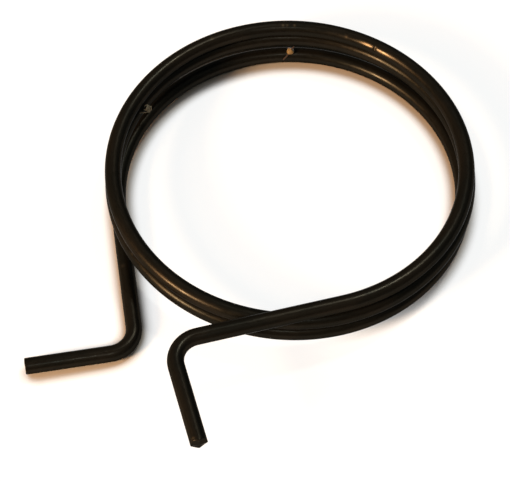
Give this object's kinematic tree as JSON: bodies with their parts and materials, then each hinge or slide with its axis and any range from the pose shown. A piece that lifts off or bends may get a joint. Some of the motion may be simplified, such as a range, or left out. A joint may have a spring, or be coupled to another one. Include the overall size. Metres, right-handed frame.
{
  "type": "torsion spring",
  "caption": "Flat-lying torsion spring of round blackened steel wire, its tangential legs bent square near their ends.",
  "frame": {"origin": "on the coil axis, at the height where the wire's centreline enters the lowest turn", "axes": "+Z along the coil axis from the lower leg's turn to the upper leg's turn; both legs leave on the -Y side"},
  "size_m": [0.0665, 0.0787, 0.0125],
  "materials": {
    "spring_wire": "oil-blackened drawn wire, satin, worn to brown in places"
  },
  "bodies": {
    "root": {"spring_wire": "spring_wire"}
  },
  "joints": []
}
